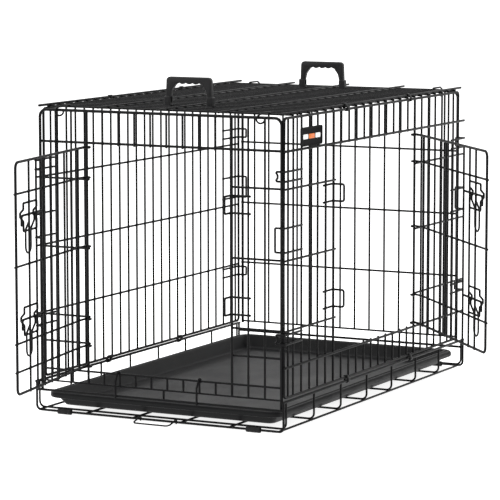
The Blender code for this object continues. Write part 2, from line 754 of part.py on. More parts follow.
def clip(name, y, low, high, low_radius, high_radius):
    """A closed band round two rails that run along Y, as a hinge between two panels."""
    start = Vector((low[0], 0, low[1]))
    end = Vector((high[0], 0, high[1]))
    along = (end - start).normalized()
    across = Vector((along.z, 0, -along.x))

    def outline(extra, y_end):
        points = []
        for centre, radius, first in ((start, low_radius, 180), (end, high_radius, 0)):
            for step in range(6):
                angle = math.radians(first + 36 * step)
                spoke = across * math.cos(angle) + along * math.sin(angle)
                point = centre + spoke * (radius + extra)
                points.append((point.x, y_end, point.z))
        return points

    def fill(bm):
        inner = 2 * GAP
        ends = (y - CLIP_LENGTH / 2, y + CLIP_LENGTH / 2)
        rings = [outline(inner + CLIP_WALL, ends[0]), outline(inner + CLIP_WALL, ends[1]),
                 outline(inner, ends[1]), outline(inner, ends[0])]
        add_stack(bm, rings, closed=True)

    return finish(loose_object(name, fill), BLACK_COAT, 50)


def clips():
    """The bands that join each side panel to the roof and to the base frame."""
    for side_name, side in (("left", -1), ("right", 1)):
        for end_name, number in CLIP_WIRES.items():
            y = side_wire_y(number)
            rail = (side * SIDE_PLANE, ROOF_Z)
            runner = (side * HALF_WIDTH, RUNNER_Z)
            clip(f"{side_name}_{end_name}_roof_clip", y, rail, runner, DOOR_FRAME, FIRM)
            ring = (side * BASE_HALF_WIDTH, BASE_TOP_Z)
            sill = (side * SIDE_PLANE, SIDE_RAIL_Z)
            clip(f"{side_name}_{end_name}_base_clip", y, ring, sill, RAIL, DOOR_FRAME)


# Handles and nameplate

def handle(name, number):
    """A moulded carry handle, clipped on a roof wire, with finger grooves under the grip."""
    y = side_wire_y(number)
    width, depth, height = FOOT_BLOCK
    block_low = CROSS_Z - FOOT_DROP
    leg_low = block_low + height / 2
    top = CROSS_Z + GRIP_HEIGHT
    foot_half = GRIP_HALF + GRIP_SPLAY
    grooves = 16

    def bow(bm):
        outline = rounded([(-foot_half, 0, leg_low), (-GRIP_HALF, 0, top), (GRIP_HALF, 0, top),
                           (foot_half, 0, leg_low)], 0.009)
        grip = []
        for step in range(grooves + 1):
            x = FINGER_HALF * (1 - 2 * step / grooves)
            grip.append((x, 0, top - GRIP_THICK - FINGER_GROOVE * math.cos(8 * math.pi * step / grooves)))
        inside = [(LEG_INSIDE, 0, leg_low), (LEG_INSIDE, 0, block_low + height),
                  (LEG_INSIDE - 0.003, 0, top - 2 * GRIP_THICK)]
        outline += inside + grip + [(-x, 0, z) for x, _, z in reversed(inside)]
        half = GRIP_DEPTH / 2
        add_stack(bm, [[(x + HANDLE_X, y + edge, z) for x, _, z in outline] for edge in (-half, half)])

    def blocks(bm):
        for side in (-1, 1):
            x = HANDLE_X + side * (LEG_INSIDE + width / 2)
            low = (x - width / 2, y - depth / 2, block_low)
            add_box(bm, low, (x + width / 2, y + depth / 2, block_low + height))

    def channel(bm):
        reach = HALF_WIDTH / 2
        add_wire(bm, [(-reach, y, CROSS_Z), (reach, y, CROSS_Z)], THIN + GAP, (0, 0, 1), RAIL_SIDES)

    node = welded(name, bow, blocks)
    cutter = loose_object(name + "_wire_channel", channel)
    cut = node.modifiers.new("wire_channel", "BOOLEAN")
    cut.operation = "DIFFERENCE"
    cut.solver = "EXACT"
    cut.object = cutter
    graph = bpy.context.evaluated_depsgraph_get()
    node.data = bpy.data.meshes.new_from_object(node.evaluated_get(graph))
    node.modifiers.clear()
    bpy.data.objects.remove(cutter)
    node.data.name = name
    finish(node, BLACK_PLASTIC, 35)
    set_origin(node, (HANDLE_X, y, CROSS_Z))
    return node


def nameplate():
    """A blank plate with a raised border, on the band of the right side panel."""
    x = SIDE_LAYER + FIRM + GAP
    half_y = PLATE_LENGTH / 2
    half_z = PLATE_HEIGHT / 2

    def fill(bm):
        rings = []
        levels = ((0, 0.0), (0, PLATE_THICK - 0.0005), (0.0006, PLATE_THICK),
                  (0.0026, PLATE_THICK), (0.0032, PLATE_THICK - 0.0008))
        for inset, out in levels:
            outline = rounded_rectangle(half_y - inset, half_z - inset, 0.004 - inset / 2, 0, 3)
            rings.append([(x + out, PLATE_Y + point.x, PLATE_Z + point.y) for point in outline])
        add_stack(bm, rings)

    return finish(loose_object("nameplate", fill), BLACK_PLASTIC, 40)


def stand_over_origin():
    """Move the whole crate so that the origin is on the floor, under the middle of its outline."""
    graph = bpy.context.evaluated_depsgraph_get()
    corners = []
    for node in bpy.context.scene.objects:
        if node.type == "MESH":
            solid = node.evaluated_get(graph)
            corners += [solid.matrix_world @ vertex.co for vertex in solid.data.vertices]
    shift = [-(min(c[axis] for c in corners) + max(c[axis] for c in corners)) / 2 for axis in (0, 1)]
    for node in bpy.context.scene.objects:
        if node.parent is None:
            node.location += Vector((*shift, 0))
    bpy.context.view_layer.update()


def main():
    """Build the crate."""
    for node in list(bpy.data.objects):
        bpy.data.objects.remove(node)
    base_frame()
    for end_name, y in (("front", -BASE_HALF_DEPTH), ("back", BASE_HALF_DEPTH)):
        foot(f"{end_name}_left_foot", -FOOT_X, y)
        foot(f"{end_name}_right_foot", FOOT_X, y)
    tray()
    pan_stop()
    front_panel()
    back_panel()
    side_panel("left_side_panel", -1, doorway=False)
    side_panel("right_side_panel", 1, doorway=True)
    top_panel()
    doors()
    catches()
    corner_hooks()
    top_hooks()
    sill_hooks()
    clips()
    for end_name, number in HANDLE_WIRES.items():
        handle(f"{end_name}_handle", number)
    nameplate()
    bpy.context.view_layer.update()
    stand_over_origin()


main()
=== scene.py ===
"""Folding wire dog crate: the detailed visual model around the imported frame."""

import json
import math

import bpy
from mathutils import Matrix, Quaternion, Vector


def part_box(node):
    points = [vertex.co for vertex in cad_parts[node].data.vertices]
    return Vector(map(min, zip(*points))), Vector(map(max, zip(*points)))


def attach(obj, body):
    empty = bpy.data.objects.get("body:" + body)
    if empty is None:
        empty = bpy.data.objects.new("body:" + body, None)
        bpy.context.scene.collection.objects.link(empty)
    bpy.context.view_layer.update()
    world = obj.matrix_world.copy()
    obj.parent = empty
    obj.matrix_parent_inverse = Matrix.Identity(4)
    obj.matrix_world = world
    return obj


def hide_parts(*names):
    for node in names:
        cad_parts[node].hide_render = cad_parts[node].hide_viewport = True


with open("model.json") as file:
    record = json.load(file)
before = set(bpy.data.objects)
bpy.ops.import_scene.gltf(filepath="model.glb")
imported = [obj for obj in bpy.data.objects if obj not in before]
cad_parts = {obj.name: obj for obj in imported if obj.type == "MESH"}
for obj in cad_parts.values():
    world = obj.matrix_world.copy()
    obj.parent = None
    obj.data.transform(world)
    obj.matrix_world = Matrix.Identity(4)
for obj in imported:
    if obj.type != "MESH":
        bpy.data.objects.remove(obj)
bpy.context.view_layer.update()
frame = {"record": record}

# ---------------------------------------------------------------- driving dimensions

PITCH = 0.0375                   # between the upright wires of every panel, and the cross wires of the roof
END_GAPS = 15
SIDE_GAPS = 21
ROOF_GAPS = 22
DEPTH_GAPS = 24.17               # between the end panels
HALF_WIDTH = END_GAPS * PITCH / 2
HALF_DEPTH = DEPTH_GAPS * PITCH / 2
BACK_HALF_WIDTH = HALF_WIDTH - 0.0055    # to swing in past the side door's hinge loops
ROOF_Z = 0.638
ENDS = (("front", -1), ("back", 1))
SIDES = (("left", -1), ("right", 1))

# Wire radii. Most are larger than in the CAD model, since the wires look that thick in the photo.
THIN = 0.0023
FIRM = 0.0027
RAIL = 0.0031
DOOR_FRAME = 0.0028
BASKET = 0.0025
SILL = 0.0022
CRADLE = 0.0022
RAIL_SIDES = 16                  # round the thick wires, and 12 round the others
FINE_STEPS = 8                   # round a bend where the usual 6 would show

# Weld depths and beads
SINK = 0.0031                    # between the middles of two thin wires that are welded together
FIRM_SINK = 0.0036
TIP = 0.003                      # a wire's end stands this far past the wire it is welded to
BEAD = 0.0019                    # a weld bead's half size along its two wires
BEAD_DEPTH = 0.0013              # and from the one to the other

# Panels
BAND_Z = 0.572                   # the firm cross wire over a doorway
LEVELS = (0.496, 0.352, 0.209)
BACK_LEVELS = (0.502, 0.358, 0.215)
BACK_REACH = 0.0012              # of the back panel's cross wires past the middles of its posts
KNEE_Z = 0.153                   # the lowest cross wire beside the front doorway
FRONT_SILL_Z = 0.094
FRONT_RAIL_Z = 0.0684
FRONT_RAIL = 0.0019
FRONT_POST_FOOT_Z = 0.0475
STUB_X = 0.010                   # the short wire below the front panel's bottom rail
STUB_FOOT_Z = 0.0505
SIDE_RAIL_Z = 0.0735
SIDE_STEP_Z = 0.135              # the firm cross wire under the side doorway
POST_BEND = 0.015
SIDE_BEND = 0.0075
SIDE_GAP = 0.0056                # the side panels stand this far outside the end panels
SIDE_PLANE = HALF_WIDTH + SIDE_GAP
FLUSH_END = (0.0, 0.46 * PITCH)  # a side panel's last two uprights, from the end panel
SHORT_END = (0.615 * PITCH, 1.365 * PITCH)
FRONT_DOOR_WIRES = (3, 12)
SIDE_DOOR_WIRES = (5, 16)

# Base
BASE_HALF_WIDTH = SIDE_PLANE + 0.0032
BASE_HALF_DEPTH = HALF_DEPTH + 0.0082
BASE_TOP_Z = 0.066
BASE_MID_Z = 0.049
BASE_RAIL_Z = 0.006
BASE_BEND = 0.010
FLOOR_WIRE_Z = 0.0070
FLOOR_WIRE_REACH = 0.001         # past the middles of the bottom rails
FLOOR_WIRE_STEP = 3              # upright wires from one floor wire to the next
CRADLE_Z = FLOOR_WIRE_Z + 0.0034
CRADLE_BEND = 0.012
CRADLES = 8                      # U-shaped wires across the basket

# Roof
CROSS_Z = ROOF_Z + 0.0046
RUNNER_Z = CROSS_Z + SINK
EDGE_RUNNER_Z = RUNNER_Z + FIRM - THIN
RUNNERS = 5

# Doors and bolts. Edges are measured from a door's free edge.
DOOR_REACH = 0.79                # of a pitch, past the jamb it closes on
DOOR_WIRE_SHORT = 0.001          # a cross wire ends this far inside the free edge
DOOR_BEND = 0.012
KNUCKLE_RADIUS = 0.0058
KNUCKLE_TAPER = 0.020            # where a door's wires leave its plane for the hinge loops
KNUCKLE_ARC = (90, 335)          # degrees
GUIDE_EDGES = (1.24 * PITCH, 3.05 * PITCH)
GUIDE_BELOW = 0.031              # from the latch
GUIDE_ABOVE = 0.0245
GUIDE_FLAT = 0.0034              # from the door's plane
GUIDE_BOWED = 0.0104             # from the door's plane, where the guide goes round the bolt
GUIDE_BOW_HALVES = (0.012, 0.004)    # half heights of the bow at its foot and at its crest
GUIDE_BEND = 0.0022
BOLT = 0.0025
BOLT_OUT = 0.0051                # from the door's plane
BOLT_EDGE = 0.0410
BOLT_LENGTH = 0.108
BOLT_TURN_DOWN = 0.020
BOLT_BEND = 0.006
PULL = 0.0021
PULL_EDGES = (0.079, 0.106)
PULL_OUT = 0.0075                # from the middle of the bolt's rod
# How far below the rod a pull loop starts to lean out, is fully out, and ends
PULL_DROPS = (0.014, 0.032, 0.079)
PULL_BEND = 0.008
PULL_BEAD = (0.0026, 0.0028, 0.0028)

# Catches and hooks
CATCH_CLEAR = 0.0048
CATCH_LAYER = 0.0014             # the arms' ends lie this much nearer the panel
CATCH_REACH = 0.022
CATCH_BELOW = 0.0118
CATCH_ABOVE = 0.0236
CATCH_BEND = 0.0042
HOOK_ARM = 1.9 * PITCH
HOOK_OUT = 0.0018                # from a rail's face to the middle of the hook's wire
HOOK_PAST_POST = 0.0028          # from a post's face to the middle of the hook's wire
HOOK_NOSE = 0.0118               # from the post inwards, like the waist
HOOK_WAIST = 0.0062
HOOK_WAIST_HALF = 0.003
HOOK_BEND = 0.0024
# Each hook's height, and half the distance between its arms
HOOK_LEVELS = {"upper": (0.522, 0.0098), "lower": (0.193, 0.0098), "middle": (0.394, 0.0245)}
TOP_HOOK_X = 0.234
TOP_HOOK = 0.0019
TOP_HOOK_RADIUS = 0.0086
TOP_HOOK_DROP = 0.0030
TOP_HOOK_ARC = (62, -190)
TOP_HOOK_LEG = (0.044, 0.004)
TOP_HOOK_LEG_Z = CROSS_Z + 0.0037
# The loops lie in the plane of this line and the upright. The front ones are turned part way round.
TOP_HOOK_OUTWARD = {"front": (-0.75, -0.66, 0), "back": (0, 1, 0)}
SILL_HOOKS = {"left": -0.097, "right": 0.094}
SILL_HOOK_RADIUS = 0.0049
SILL_HOOK_ARC = (172, -40)
SILL_HOOK_SHANK = 0.014
CLIP_WIRES = {"front": 6.7, "back": 15.3}    # places counted in roof wires
CLIP_HALF = 0.006

# Pan stop, tray and feet
STOP_HALF = 0.042
STOP_REACH = 0.030
STOP_Z = 0.0023
STOP_WIRE = 0.0017
STOP_TURN = 0.0049
STOP_ARC = (-50, 150)
STOP_BEND = 0.008
TRAY_CORNER = 0.034
TRAY_INNER_CORNER = 0.012
FOOT_SIDES = 24
FOOT_X = 0.222

# Handles, with heights over the roof's cross wires
HANDLE_WIRES = {"front_handle": 3, "back_handle": 20}
HANDLE_X = -0.010
GRIP_TOP = 0.0615
GRIP_FOOT = 0.0080
GRIP_SHELF = 0.0205
GRIP_TOP_HALF = 0.0523
GRIP_FOOT_HALF = 0.0545
GRIP_BEND = 0.0085
GRIP_THICK = 0.0140
LEG_INSIDE = 0.0435
GUSSET_INSIDE = 0.0405
GUSSET_DROP = 0.0280
GUSSET_BEND = 0.006
FINGER_HALF = 0.0310
FINGER_GROOVE = 0.0013
FINGER_WAVES = 4
FINGER_STEPS = 48
# How far the grip's outline is drawn in, and where across its thickness
GRIP_SECTION = ((0.0022, -0.0060), (0.0009, -0.0056), (0.0002, -0.0048), (0.0, -0.0030),
                (0.0, 0.0030), (0.0002, 0.0048), (0.0009, 0.0056), (0.0022, 0.0060))
BLOCK_X = 0.0503
BLOCK_HALVES = (0.0068, 0.0072)
BLOCK_CORNER = 0.0016
BLOCK_HEIGHT = 0.0250
BLOCK_DROP = 0.0045

# Nameplate
PLATE_CORNER = 0.0045
PLATE_INNER_CORNER = 0.001
BAR_HALF_HEIGHT = 0.0048
BAR_CORNER = 0.0020
WHITE_BARS = ((-0.0280, 0.0110), (0.0280, 0.0110))
ORANGE_BARS = ((0.0, 0.0135),)
PLATE_CREASE = 40

centre_low, centre_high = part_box("top_panel")
CENTRE = Vector(((centre_low[0] + centre_high[0]) / 2, (centre_low[1] + centre_high[1]) / 2, 0))


def side_wire_y(number):
    """Y of a roof wire, and of an upright of the right side panel, counted from the front."""
    return (number - ROOF_GAPS / 2) * PITCH


def side_panel_ends(side):
    """Y of a side panel's end uprights. The panels are alike, with one turned half round about Z."""
    flush = [-side * (HALF_DEPTH - gap) for gap in FLUSH_END]
    short = [side * (HALF_DEPTH - gap) for gap in SHORT_END]
    return flush, short


def end_wire_x(number):
    """X of an end panel's upright wire, counted from the left post."""
    return -HALF_WIDTH + number * PITCH


# ---------------------------------------------------------------- paths

def rounded(corners, bend, steps=6, closed=False):
    """The path through the corners, with each corner rounded to the bend radius."""
    points = [Vector(corner) for corner in corners]
    path = []
    for index, point in enumerate(points):
        if not closed and index in (0, len(points) - 1):
            path.append(point)
            continue
        to_last = (points[index - 1] - point).normalized()
        to_next = (points[(index + 1) % len(points)] - point).normalized()
        half = to_last.angle(to_next) / 2
        centre = point + (to_last + to_next).normalized() * (bend / math.sin(half))
        start = point + to_last * (bend / math.tan(half)) - centre
        end = point + to_next * (bend / math.tan(half)) - centre
        turn = start.rotation_difference(end)
        for step in range(steps + 1):
            spoke = start.copy()
            spoke.rotate(Quaternion().slerp(turn, step / steps))
            path.append(centre + spoke)
    return path


def arc(centre, radius, start, end, steps, axes=((0, 1, 0), (0, 0, 1))):
    """Points on an arc about a centre, in degrees from the first axis towards the second."""
    first = Vector(axes[0])
    second = Vector(axes[1])
    points = []
    for step in range(steps + 1):
        angle = math.radians(start + (end - start) * step / steps)
        points.append(Vector(centre) + first * radius * math.cos(angle) + second * radius * math.sin(angle))
    return points


# ---------------------------------------------------------------- surfaces

class Skin:
    """Gathers shells into one mesh."""

    def __init__(self):
        self.points = []
        self.faces = []

    def ring(self, points):
        """Adds an outline and returns the numbers of its points."""
        first = len(self.points)
        self.points += [Vector(point) for point in points]
        return list(range(first, len(self.points)))

    def join(self, low, high):
        """Adds the band of faces between two outlines."""
        count = len(low)
        for index in range(count):
            after = (index + 1) % count
            self.faces.append((low[index], low[after], high[after], high[index]))

    def stack(self, outlines, closed=False):
        """Adds a shell through a stack of outlines, capped unless it closes on itself."""
        rings = [self.ring(outline) for outline in outlines]
        for low, high in zip(rings, rings[1:]):
            self.join(low, high)
        if closed:
            self.join(rings[-1], rings[0])
        else:
            self.faces.append(tuple(reversed(rings[0])))
            self.faces.append(tuple(rings[-1]))

    def wire(self, path, radius, sides=12, closed=False):
        """Adds a round wire along a path, with blunt rounded tips."""
        path = [Vector(point) for point in path]
        count = len(path)
        runs = [(path[(index + 1) % count] - path[index]).normalized() for index in range(count)]
        if not closed:
            runs[-1] = runs[-2]
        incoming = runs[-1] if closed else runs[0]
        normal = incoming.orthogonal().normalized()
        outlines = []
        for index, point in enumerate(path):
            outgoing = runs[index]
            across = incoming.cross(normal)
            mitre = (incoming + outgoing).normalized()
            outline = []
            for side in range(sides):
                angle = 2 * math.pi * side / sides
                offset = (normal * math.cos(angle) + across * math.sin(angle)) * radius
                offset -= incoming * (offset.dot(mitre) / incoming.dot(mitre))
                outline.append(point + offset)
            outlines.append(outline)
            normal.rotate(incoming.rotation_difference(outgoing))
            incoming = outgoing
        if closed:
            # The frame may come back turned about the wire, so the last band is joined where it fits best.
            first = min(range(sides), key=lambda side: (outlines[0][side] - outlines[-1][0]).length)
            rings = [self.ring(outline) for outline in outlines]
            for low, high in zip(rings, rings[1:]):
                self.join(low, high)
            self.join(rings[-1], rings[0][first:] + rings[0][:first])
            return
        head = self.tip(outlines[0], path[0], -runs[0], radius)
        tail = self.tip(outlines[-1], path[-1], runs[-1], radius)
        self.stack(list(reversed(head)) + outlines + tail)

    @staticmethod
    def tip(outline, point, outward, radius):
        """The outlines of a wire's rounded tip."""
        made = []
        for reach, width in ((0.28, 0.92), (0.45, 0.66)):
            made.append([point + (corner - point) * width + outward * radius * reach for corner in outline])
        return made

    def bead(self, point, sizes, sides=8):
        """Adds a small weld bead: an ellipsoid with the given half sizes."""
        outlines = []
        for level in (-0.86, -0.45, 0.0, 0.45, 0.86):
            width = math.sqrt(1 - level * level)
            outline = []
            for side in range(sides):
                angle = 2 * math.pi * side / sides
                x = sizes[0] * width * math.cos(angle)
                y = sizes[1] * width * math.sin(angle)
                outline.append(Vector(point) + Vector((x, y, sizes[2] * level)))
            outlines.append(outline)
        self.stack(outlines)

    def object(self, name, place):
        """Makes the mesh object, moved into the row frame by the place matrix."""
        mesh = bpy.data.meshes.new(name)
        mesh.from_pydata([place @ point for point in self.points], [], self.faces)
        mesh.validate()
        mesh.update()
        made = bpy.data.objects.new(name, mesh)
        bpy.context.scene.collection.objects.link(made)
        return made


CRATE = Matrix.Translation(CENTRE)


def piece(name, skin, look, body, nodes, place=CRATE, crease=50):
    """Finishes a piece: its shading and material, the body it rides on and the CAD nodes it stands for."""
    made = skin.object(name, place)
    made.data.materials.append(look)
    made.data.shade_smooth()
    made.data.set_sharp_from_angle(angle=math.radians(crease))
    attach(made, body)
    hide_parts(*nodes)


# ---------------------------------------------------------------- materials

def surface(name, dark, light, roughness, spread, grain_size, grain_depth, specular, patch_size=0.05):
    """A coated or moulded surface: its colour and gloss wander a little, over a fine grain."""
    material = bpy.data.materials.new(name)
    material.use_nodes = True
    nodes = material.node_tree.nodes
    links = material.node_tree.links
    shader = nodes["Principled BSDF"]
    shader.inputs["Specular IOR Level"].default_value = specular
    place = nodes.new("ShaderNodeTexCoord")

    patches = nodes.new("ShaderNodeTexNoise")
    patches.inputs["Scale"].default_value = 1 / patch_size
    patches.inputs["Detail"].default_value = 4
    links.new(place.outputs["Object"], patches.inputs["Vector"])

    colour = nodes.new("ShaderNodeMix")
    colour.data_type = "RGBA"
    colour.inputs[6].default_value = (*dark, 1)
    colour.inputs[7].default_value = (*light, 1)
    links.new(patches.outputs["Fac"], colour.inputs[0])
    links.new(colour.outputs[2], shader.inputs["Base Color"])

    gloss = nodes.new("ShaderNodeMapRange")
    gloss.inputs["From Min"].default_value = 0.3
    gloss.inputs["From Max"].default_value = 0.7
    gloss.inputs["To Min"].default_value = roughness - spread
    gloss.inputs["To Max"].default_value = roughness + spread
    links.new(patches.outputs["Fac"], gloss.inputs["Value"])
    links.new(gloss.outputs["Result"], shader.inputs["Roughness"])

    grain = nodes.new("ShaderNodeTexNoise")
    grain.inputs["Scale"].default_value = 1 / grain_size
    grain.inputs["Detail"].default_value = 3
    grain.inputs["Roughness"].default_value = 0.6
    links.new(place.outputs["Object"], grain.inputs["Vector"])
    bump = nodes.new("ShaderNodeBump")
    bump.inputs["Strength"].default_value = 1
    bump.inputs["Distance"].default_value = grain_depth
    links.new(grain.outputs["Fac"], bump.inputs["Height"])
    links.new(bump.outputs["Normal"], shader.inputs["Normal"])
    return material


WIRE_COAT = surface("black_wire_coat", dark=(0.0020, 0.0020, 0.0022), light=(0.0044, 0.0044, 0.0048),
                    roughness=0.42, spread=0.06, grain_size=0.0011, grain_depth=0.00004,
                    specular=0.10)
TRAY_PLASTIC = surface("tray_plastic", dark=(0.0030, 0.0031, 0.0034), light=(0.0052, 0.0053, 0.0057),
                       roughness=0.46, spread=0.05, grain_size=0.0014, grain_depth=0.00010,
                       specular=0.14, patch_size=0.12)
HANDLE_PLASTIC = surface("handle_plastic", dark=(0.0035, 0.0035, 0.0039), light=(0.0062, 0.0062, 0.0068),
                         roughness=0.40, spread=0.05, grain_size=0.0009, grain_depth=0.00006,
                         specular=0.22, patch_size=0.03)
FOOT_RUBBER = surface("foot_rubber", dark=(0.0040, 0.0040, 0.0042), light=(0.0070, 0.0070, 0.0073),
                      roughness=0.62, spread=0.06, grain_size=0.0012, grain_depth=0.00006,
                      specular=0.20, patch_size=0.02)
PLATE_BLACK = surface("plate_black", dark=(0.0025, 0.0025, 0.0028), light=(0.0042, 0.0042, 0.0046),
                      roughness=0.50, spread=0.04, grain_size=0.0008, grain_depth=0.00003,
                      specular=0.03, patch_size=0.02)
PLATE_ORANGE = surface("plate_orange", dark=(0.60, 0.13, 0.018), light=(0.68, 0.16, 0.024),
                       roughness=0.36, spread=0.04, grain_size=0.0008, grain_depth=0.00003,
                       specular=0.30, patch_size=0.02)
PLATE_WHITE = surface("plate_white", dark=(0.76, 0.76, 0.75), light=(0.84, 0.84, 0.83),
                      roughness=0.36, spread=0.04, grain_size=0.0008, grain_depth=0.00003,
                      specular=0.30, patch_size=0.02)


# ---------------------------------------------------------------- panels

def upright(skin, x, y, low, high, radius):
    """Adds an upright wire."""
    skin.wire([(x, y, low), (x, y, high)], radius)


def end_welds(skin, y, back, numbers, z):
    """Adds the weld beads where an end panel's cross wire passes its uprights."""
    for number in numbers:
        skin.bead((end_wire_x(number), (y + back) / 2, z), (BEAD, BEAD_DEPTH, BEAD))


def end_outer_wire(skin, x, y, foot):
    """Adds an end panel's posts and top rail, which are one bent wire."""
    corners = [(-x, y, foot), (-x, y, ROOF_Z), (x, y, ROOF_Z), (x, y, foot)]
    skin.wire(rounded(corners, POST_BEND, FINE_STEPS), RAIL, RAIL_SIDES)


def front_uprights(skin, y):
    """Adds the front panel's uprights, cut away at the doorway."""
    left, right = FRONT_DOOR_WIRES
    for number in range(1, END_GAPS):
        x = end_wire_x(number)
        if left < number < right:
            upright(skin, x, y, FRONT_RAIL_Z, FRONT_SILL_Z, THIN)
            upright(skin, x, y, BAND_Z - TIP, ROOF_Z, THIN)
        else:
            radius = FIRM if number in FRONT_DOOR_WIRES else THIN
            upright(skin, x, y, FRONT_RAIL_Z, ROOF_Z, radius)


def front_panel():
    """The front end: bent outer wire, sill, bottom rail, uprights and cross wires."""
    skin = Skin()
    y = -HALF_DEPTH
    back = y + SINK
    left, right = FRONT_DOOR_WIRES
    x = HALF_WIDTH
    end_outer_wire(skin, x, y, FRONT_POST_FOOT_Z)
    for z, radius in ((FRONT_RAIL_Z, FRONT_RAIL), (FRONT_SILL_Z, SILL)):
        skin.wire([(-x, y, z), (x, y, z)], radius)
    front_uprights(skin, y)
    reach = x + TIP
    skin.wire([(-reach, y + FIRM_SINK, BAND_Z), (reach, y + FIRM_SINK, BAND_Z)], FIRM)
    end_welds(skin, y, back, range(END_GAPS + 1), BAND_Z)
    for z in (*LEVELS, KNEE_Z):
        skin.wire([(-reach, back, z), (end_wire_x(left) + TIP, back, z)], THIN)
        skin.wire([(end_wire_x(right) - TIP, back, z), (reach, back, z)], THIN)
        end_welds(skin, y, back, [*range(left + 1), *range(right, END_GAPS + 1)], z)
    upright(skin, STUB_X, y, STUB_FOOT_Z, FRONT_RAIL_Z, THIN)
    piece("front_panel_wires", skin, WIRE_COAT, "crate_frame", ["front_panel"])


def back_panel():
    """The back end, which swings inwards."""
    skin = Skin()
    y = HALF_DEPTH
    inner = y - SINK
    x = BACK_HALF_WIDTH
    reach = x + BACK_REACH
    end_outer_wire(skin, x, y, SIDE_RAIL_Z - TIP)
    skin.wire([(-x, y, SIDE_RAIL_Z), (x, y, SIDE_RAIL_Z)], SILL)
    for number in range(1, END_GAPS):
        upright(skin, end_wire_x(number), y, SIDE_RAIL_Z, ROOF_Z, THIN)
    for z in BACK_LEVELS:
        skin.wire([(-reach, inner, z), (reach, inner, z)], THIN)
        end_welds(skin, y, inner, range(1, END_GAPS), z)
    piece("back_panel_wires", skin, WIRE_COAT, "back_panel", ["back_panel"])


def side_uprights(skin, side, plane, doorway):
    """Adds a side panel's evenly spaced uprights, cut away at a doorway."""
    first, last = SIDE_DOOR_WIRES
    for number in range(SIDE_GAPS + 1):
        y = side * side_wire_y(number)
        if doorway and first < number < last:
            upright(skin, plane, y, SIDE_RAIL_Z, SIDE_STEP_Z + TIP, THIN)
            upright(skin, plane, y, BAND_Z - TIP, ROOF_Z, THIN)
        else:
            radius = FIRM if doorway and number in SIDE_DOOR_WIRES else THIN
            upright(skin, plane, y, SIDE_RAIL_Z, ROOF_Z, radius)


def side_welds(skin, x, ys, z):
    """Adds the weld beads where a side panel's cross wire passes its uprights."""
    for y in ys:
        skin.bead((x, y, z), (BEAD_DEPTH, BEAD, BEAD))


def side_panel(name, side, doorway):
    """A long side: closed outer wire, uprights, and cross wires on the outside."""
    skin = Skin()
    plane = side * SIDE_PLANE
    outer = plane + side * SINK
    firm_outer = plane + side * FIRM_SINK
    first, last = SIDE_DOOR_WIRES
    (start, near), (stop, far) = side_panel_ends(side)
    corners = [(plane, start, SIDE_RAIL_Z), (plane, stop, SIDE_RAIL_Z),
               (plane, stop, ROOF_Z), (plane, start, ROOF_Z)]
    skin.wire(rounded(corners, SIDE_BEND, closed=True), DOOR_FRAME, RAIL_SIDES, closed=True)
    for y in (near, far):
        upright(skin, plane, y, SIDE_RAIL_Z, ROOF_Z, THIN)
    side_uprights(skin, side, plane, doorway)

    reach = HALF_DEPTH + TIP
    weld_x = (plane + outer) / 2
    ends = [start, near, far, stop]
    numbers = range(SIDE_GAPS + 1)
    every = [side * side_wire_y(number) for number in numbers] + ends
    beside = [side * side_wire_y(number) for number in numbers if not first < number < last] + ends
    if not doorway:
        for z in LEVELS:
            skin.wire([(outer, -reach, z), (outer, reach, z)], THIN)
            side_welds(skin, weld_x, every, z)
    else:
        for z in (BAND_Z, SIDE_STEP_Z):
            skin.wire([(firm_outer, -reach, z), (firm_outer, reach, z)], FIRM)
            side_welds(skin, weld_x, every, z)
        for z in LEVELS:
            skin.wire([(outer, -reach, z), (outer, side_wire_y(first) + TIP, z)], THIN)
            skin.wire([(outer, side_wire_y(last) - TIP, z), (outer, reach, z)], THIN)
            side_welds(skin, weld_x, beside, z)
    piece(name + "_wires", skin, WIRE_COAT, "crate_frame", [name])


def top_panel():
    """The roof: close cross wires, and long runners welded over them."""
    skin = Skin()
    ys = [side_wire_y(number) for number in range(ROOF_GAPS + 1)]
    reach = HALF_DEPTH + TIP
    for y in ys:
        skin.wire([(-SIDE_PLANE, y, CROSS_Z), (SIDE_PLANE, y, CROSS_Z)], THIN)
    for number in range(RUNNERS):
        x = end_wire_x(END_GAPS * number / (RUNNERS - 1))
        edge = number in (0, RUNNERS - 1)
        z = EDGE_RUNNER_Z if edge else RUNNER_Z
        skin.wire([(x, -reach, z), (x, reach, z)], FIRM if edge else THIN)
        for y in ys:
            skin.bead((x, y, (CROSS_Z + RUNNER_Z) / 2), (BEAD, BEAD, BEAD_DEPTH))
    piece("top_panel_wires", skin, WIRE_COAT, "crate_frame", ["top_panel"])


